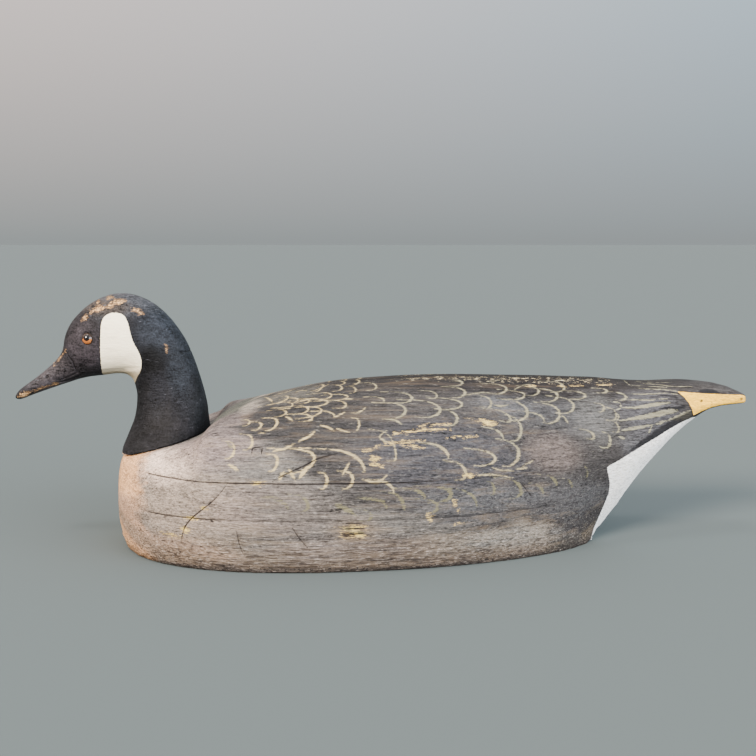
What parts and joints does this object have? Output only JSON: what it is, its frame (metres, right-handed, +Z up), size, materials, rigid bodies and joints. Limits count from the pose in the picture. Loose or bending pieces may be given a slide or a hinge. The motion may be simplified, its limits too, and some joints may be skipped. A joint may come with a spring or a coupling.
{
  "type": "goose decoy",
  "caption": "Life-size hunting decoy of a goose: solid laminated body with a flat underside, upright carved head and neck, sawn tail and glass eyes, in worn paint.",
  "frame": {"origin": "on the ground, under the middle of the overall length and width", "axes": "-X towards the bill, +X towards the tail, -Y the bird's left side, +Z up"},
  "size_m": [0.6916, 0.244, 0.2364],
  "materials": {
    "side_paint": "worn flat paint over weathered wood",
    "back_paint": "worn flat paint over weathered wood",
    "head_paint": "worn satin black paint",
    "eye_glass": "polished amber glass, opaque"
  },
  "bodies": {
    "root": {"body_bottom_board": "side_paint", "body_middle_board": "side_paint", "body_top_block": "back_paint", "head_and_neck": "head_paint", "eye_left": "eye_glass", "eye_right": "eye_glass"}
  },
  "joints": []
}
